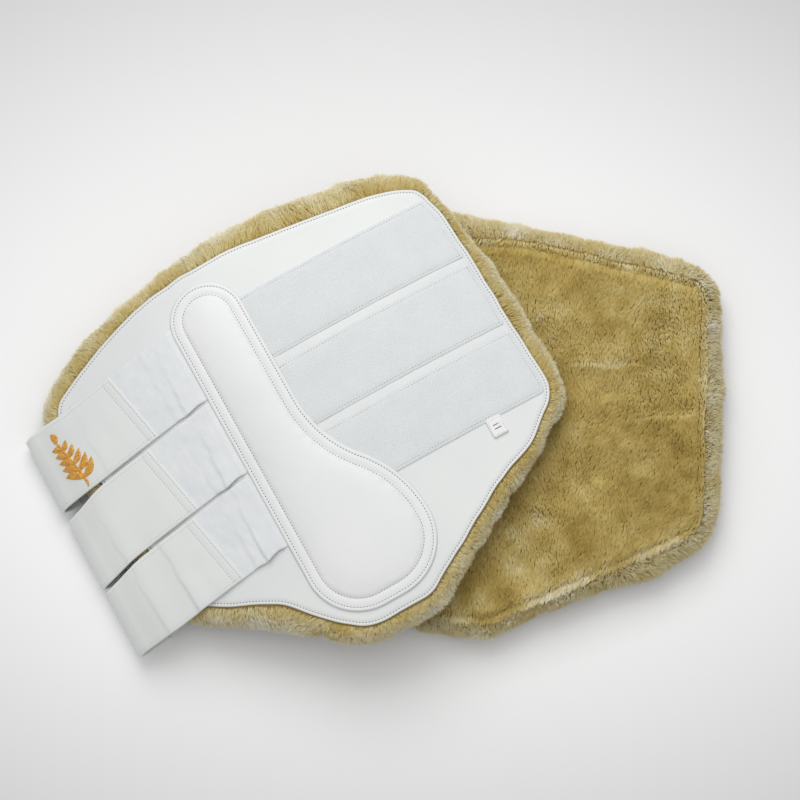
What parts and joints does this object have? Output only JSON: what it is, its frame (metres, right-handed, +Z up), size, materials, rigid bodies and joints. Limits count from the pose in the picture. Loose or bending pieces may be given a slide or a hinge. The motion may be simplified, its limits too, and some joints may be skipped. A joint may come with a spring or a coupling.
{
  "type": "horse leg boots",
  "caption": "Pair of fleece-lined horse leg boots with a padded strike plate, elastic hook-and-loop straps and loop strips, one lying over the other.",
  "frame": {"origin": "centre of the pair's footprint, on the surface it lies on", "axes": "+Z up; +X along the pair's longest side, from the upper boot's straps to the lower boot's free wing"},
  "size_m": [0.4584, 0.3184, 0.0606],
  "materials": {
    "shell_leather": "smooth coated white synthetic leather, satin",
    "tab_leather": "smooth coated white synthetic leather, satin",
    "pad_leather": "smooth coated white synthetic leather, satin",
    "foam": "closed-cell foam, matt",
    "fleece": "deep tan synthetic sheepskin pile",
    "loop_tape": "white brushed loop tape",
    "hook_tape": "white moulded hook tape",
    "elastic": "white ribbed knitted elastic",
    "size_tag": "woven white satin tag",
    "emblem_thread": "golden satin-stitch embroidery"
  },
  "bodies": {
    "boot_b": {"boot_b_elastic_tails": "elastic", "boot_b_fleece_lining": "fleece", "boot_b_foam_layer": "foam", "boot_b_loop_strip_lower": "loop_tape", "boot_b_loop_strip_middle": "loop_tape", "boot_b_loop_strip_upper": "loop_tape", "boot_b_outer_shell": "shell_leather", "boot_b_strike_pad_cover": "pad_leather", "boot_b_strike_pad_foam": "foam"},
    "boot_b_wing": {"boot_b_fleece_lining_wing": "fleece", "boot_b_foam_layer_wing": "foam", "boot_b_loop_strip_lower_wing": "loop_tape", "boot_b_loop_strip_middle_wing": "loop_tape", "boot_b_loop_strip_upper_wing": "loop_tape", "boot_b_outer_shell_wing": "shell_leather", "boot_b_size_tag": "size_tag"},
    "boot_a": {"boot_a_elastic_tails": "elastic", "boot_a_fleece_lining": "fleece", "boot_a_foam_layer": "foam", "boot_a_loop_strip_lower": "loop_tape", "boot_a_loop_strip_middle": "loop_tape", "boot_a_loop_strip_upper": "loop_tape", "boot_a_outer_shell": "shell_leather", "boot_a_strike_pad_cover": "pad_leather", "boot_a_strike_pad_foam": "foam"},
    "boot_a_wing": {"boot_a_fleece_lining_wing": "fleece", "boot_a_foam_layer_wing": "foam", "boot_a_loop_strip_lower_wing": "loop_tape", "boot_a_loop_strip_middle_wing": "loop_tape", "boot_a_loop_strip_upper_wing": "loop_tape", "boot_a_outer_shell_wing": "shell_leather", "boot_a_size_tag": "size_tag"},
    "boot_a_strap_lower": {"boot_a_elastic_lower": "elastic", "boot_a_strap_tab_lower": "tab_leather", "boot_a_hook_patch_lower": "hook_tape"},
    "boot_a_strap_middle": {"boot_a_elastic_middle": "elastic", "boot_a_strap_tab_middle": "tab_leather", "boot_a_hook_patch_middle": "hook_tape"},
    "boot_a_strap_upper": {"boot_a_elastic_upper": "elastic", "boot_a_strap_tab_upper": "tab_leather", "boot_a_hook_patch_upper": "hook_tape", "boot_a_strap_emblem": "emblem_thread"},
    "boot_b_strap_lower": {"boot_b_elastic_lower": "elastic", "boot_b_strap_tab_lower": "tab_leather", "boot_b_hook_patch_lower": "hook_tape"},
    "boot_b_strap_middle": {"boot_b_elastic_middle": "elastic", "boot_b_strap_tab_middle": "tab_leather", "boot_b_hook_patch_middle": "hook_tape"},
    "boot_b_strap_upper": {"boot_b_elastic_upper": "elastic", "boot_b_strap_tab_upper": "tab_leather", "boot_b_hook_patch_upper": "hook_tape", "boot_b_strap_emblem": "emblem_thread"}
  },
  "joints": [
    {"name": "boot_a_lift", "type": "slide", "parent": "boot_b", "child": "boot_a", "axis": [0, 0, 1], "range_m": [0, 0.2]},
    {"name": "boot_a_wing_lift", "type": "hinge", "parent": "boot_a", "child": "boot_a_wing", "pos_m": [0.01097, 0.02025, 0.05626], "axis": [0.4879, -0.8729, 0], "range_deg": [0, 35]},
    {"name": "boot_b_wing_wrap", "type": "hinge", "parent": "boot_b", "child": "boot_b_wing", "pos_m": [0.13285, -0.00354, 0.0112], "axis": [-0.0924, -0.9957, 0], "range_deg": [0, 60]},
    {"name": "boot_a_strap_lower_open", "type": "hinge", "parent": "boot_a", "child": "boot_a_strap_lower", "pos_m": [-0.06989, -0.06874, 0.04745], "axis": [-0.4879, 0.8729, 0], "range_deg": [0, 140]},
    {"name": "boot_a_strap_middle_open", "type": "hinge", "parent": "boot_a", "child": "boot_a_strap_middle", "pos_m": [-0.09624, -0.0216, 0.04745], "axis": [-0.4879, 0.8729, 0], "range_deg": [0, 140]},
    {"name": "boot_a_strap_upper_open", "type": "hinge", "parent": "boot_a", "child": "boot_a_strap_upper", "pos_m": [-0.12258, 0.02554, 0.04745], "axis": [-0.4879, 0.8729, 0], "range_deg": [0, 140]},
    {"name": "boot_b_strap_lower_open", "type": "hinge", "parent": "boot_b", "child": "boot_b_strap_lower", "pos_m": [0.01581, -0.03108, 0.0049], "axis": [0.0924, 0.9957, 0], "range_deg": [-140, 0]},
    {"name": "boot_b_strap_middle_open", "type": "hinge", "parent": "boot_b", "child": "boot_b_strap_middle", "pos_m": [0.0208, 0.02269, 0.0049], "axis": [0.0924, 0.9957, 0], "range_deg": [-140, 0]},
    {"name": "boot_b_strap_upper_open", "type": "hinge", "parent": "boot_b", "child": "boot_b_strap_upper", "pos_m": [0.02578, 0.07646, 0.0049], "axis": [0.0924, 0.9957, 0], "range_deg": [-140, 0]}
  ]
}
